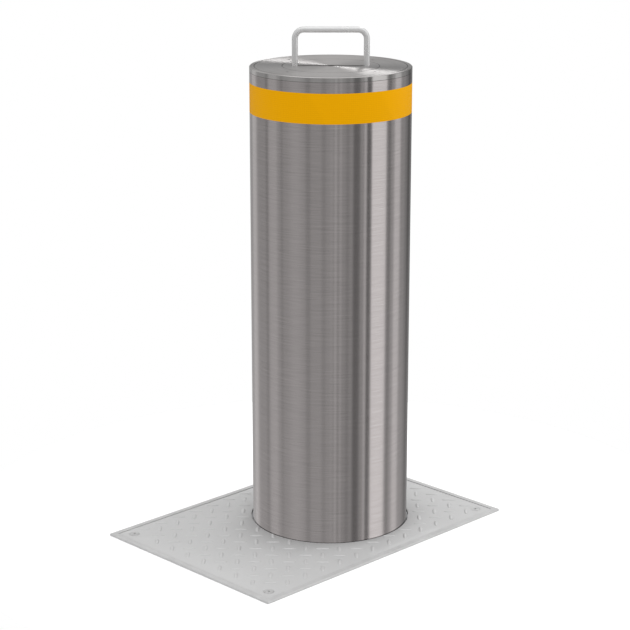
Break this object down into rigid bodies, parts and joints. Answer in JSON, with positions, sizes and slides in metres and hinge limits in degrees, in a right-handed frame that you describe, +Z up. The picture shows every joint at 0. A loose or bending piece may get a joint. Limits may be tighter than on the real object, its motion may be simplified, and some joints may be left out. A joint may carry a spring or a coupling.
{
  "type": "retractable bollard",
  "caption": "Manually lowered telescopic street bollard with a lifting handle, keyed lock, gas-assisted lift and a buried casing with drain",
  "frame": {"origin": "on the post's axis, at the paving surface that the cover frame rests on", "axes": "+Z up along the post, +X along the long side of the cover plate towards its short end beside the post, +Y across the cover plate"},
  "size_m": [0.57, 0.49, 1.993],
  "materials": {
    "tube_stainless": "satin, brushed around the tube",
    "cap_stainless": "turned in circles",
    "handle_stainless": "fine satin",
    "screw_steel": "plain stainless",
    "tread_alloy": "mill finish tread plate",
    "frame_alloy": "matt",
    "reflective_yellow": "retroreflective film",
    "galvanised_steel": "hot-dip galvanised",
    "plain_steel": "zinc plated, dull",
    "black_paint": "satin black",
    "rod_chrome": "hard chrome",
    "guide_polymer": "natural polyethylene",
    "black_rubber": "moulded",
    "bush_bronze": "oiled bronze",
    "lock_brass": "dull"
  },
  "bodies": {
    "casing": {"casing_tube": "galvanised_steel", "casing_base": "galvanised_steel", "base_gussets": "galvanised_steel", "anchor_bars": "plain_steel", "drain_spigot": "galvanised_steel", "drain_strainer": "galvanised_steel", "casing_flange": "galvanised_steel", "top_box": "galvanised_steel", "cover_frame": "frame_alloy", "cover_plate": "tread_alloy", "cover_screws": "screw_steel", "upper_guide_ring": "guide_polymer", "wiper_seal": "black_rubber", "wiper_retainer": "plain_steel", "guide_screws": "screw_steel", "stop_ring": "galvanised_steel", "stop_buffer": "black_rubber", "guide_rails": "plain_steel", "upper_keepers": "plain_steel", "lower_keepers": "plain_steel", "buffer_stops": "black_rubber", "gas_cylinders": "black_paint", "cylinder_glands": "plain_steel", "cylinder_brackets": "galvanised_steel", "cylinder_pins": "plain_steel"},
    "post": {"post_tube": "tube_stainless", "reflective_band": "reflective_yellow", "cap_base": "cap_stainless", "cap_plate": "cap_stainless", "handle_plate": "cap_stainless", "cap_screws": "cap_stainless", "handle_bushes": "bush_bronze", "lock_housing": "plain_steel", "housing_screws": "screw_steel", "head_plate": "galvanised_steel", "gas_rods": "rod_chrome", "rod_nuts": "screw_steel", "lower_collar": "plain_steel", "guide_shoes": "guide_polymer", "lock_beam": "galvanised_steel", "shaft_bush": "bush_bronze", "cam_washer": "bush_bronze", "bolt_guides": "plain_steel"},
    "handle": {"lift_handle": "handle_stainless", "handle_stops": "plain_steel"},
    "lock": {"lock_barrel": "lock_brass", "lock_shaft": "plain_steel", "shaft_coupler": "plain_steel", "lock_cam": "plain_steel"},
    "bolt_a": {"bolt_a": "plain_steel", "bolt_a_pin": "plain_steel"},
    "bolt_b": {"bolt_b": "plain_steel", "bolt_b_pin": "plain_steel"}
  },
  "joints": [
    {"name": "post_slide", "type": "slide", "parent": "casing", "child": "post", "axis": [0, 0, 1], "range_m": [-0.8, 0], "stiffness_N_per_m": 250, "springref_m": 3.2},
    {"name": "handle_slide", "type": "slide", "parent": "post", "child": "handle", "axis": [0, 0, 1], "range_m": [-0.065, 0]},
    {"name": "lock_turn", "type": "hinge", "parent": "post", "child": "lock", "pos_m": [0, 0, 0], "axis": [0, 0, 1], "range_deg": [0, 90]},
    {"name": "bolt_a_slide", "type": "slide", "parent": "post", "child": "bolt_a", "axis": [0, 1, 0], "range_m": [0, 0.024]},
    {"name": "bolt_b_slide", "type": "slide", "parent": "post", "child": "bolt_b", "axis": [0, -1, 0], "range_m": [0, 0.024]}
  ],
  "couplings": [
    {"joint": "bolt_a_slide", "follows": "lock_turn", "m_per_rad": 0.01527},
    {"joint": "bolt_b_slide", "follows": "lock_turn", "m_per_rad": 0.01527}
  ]
}
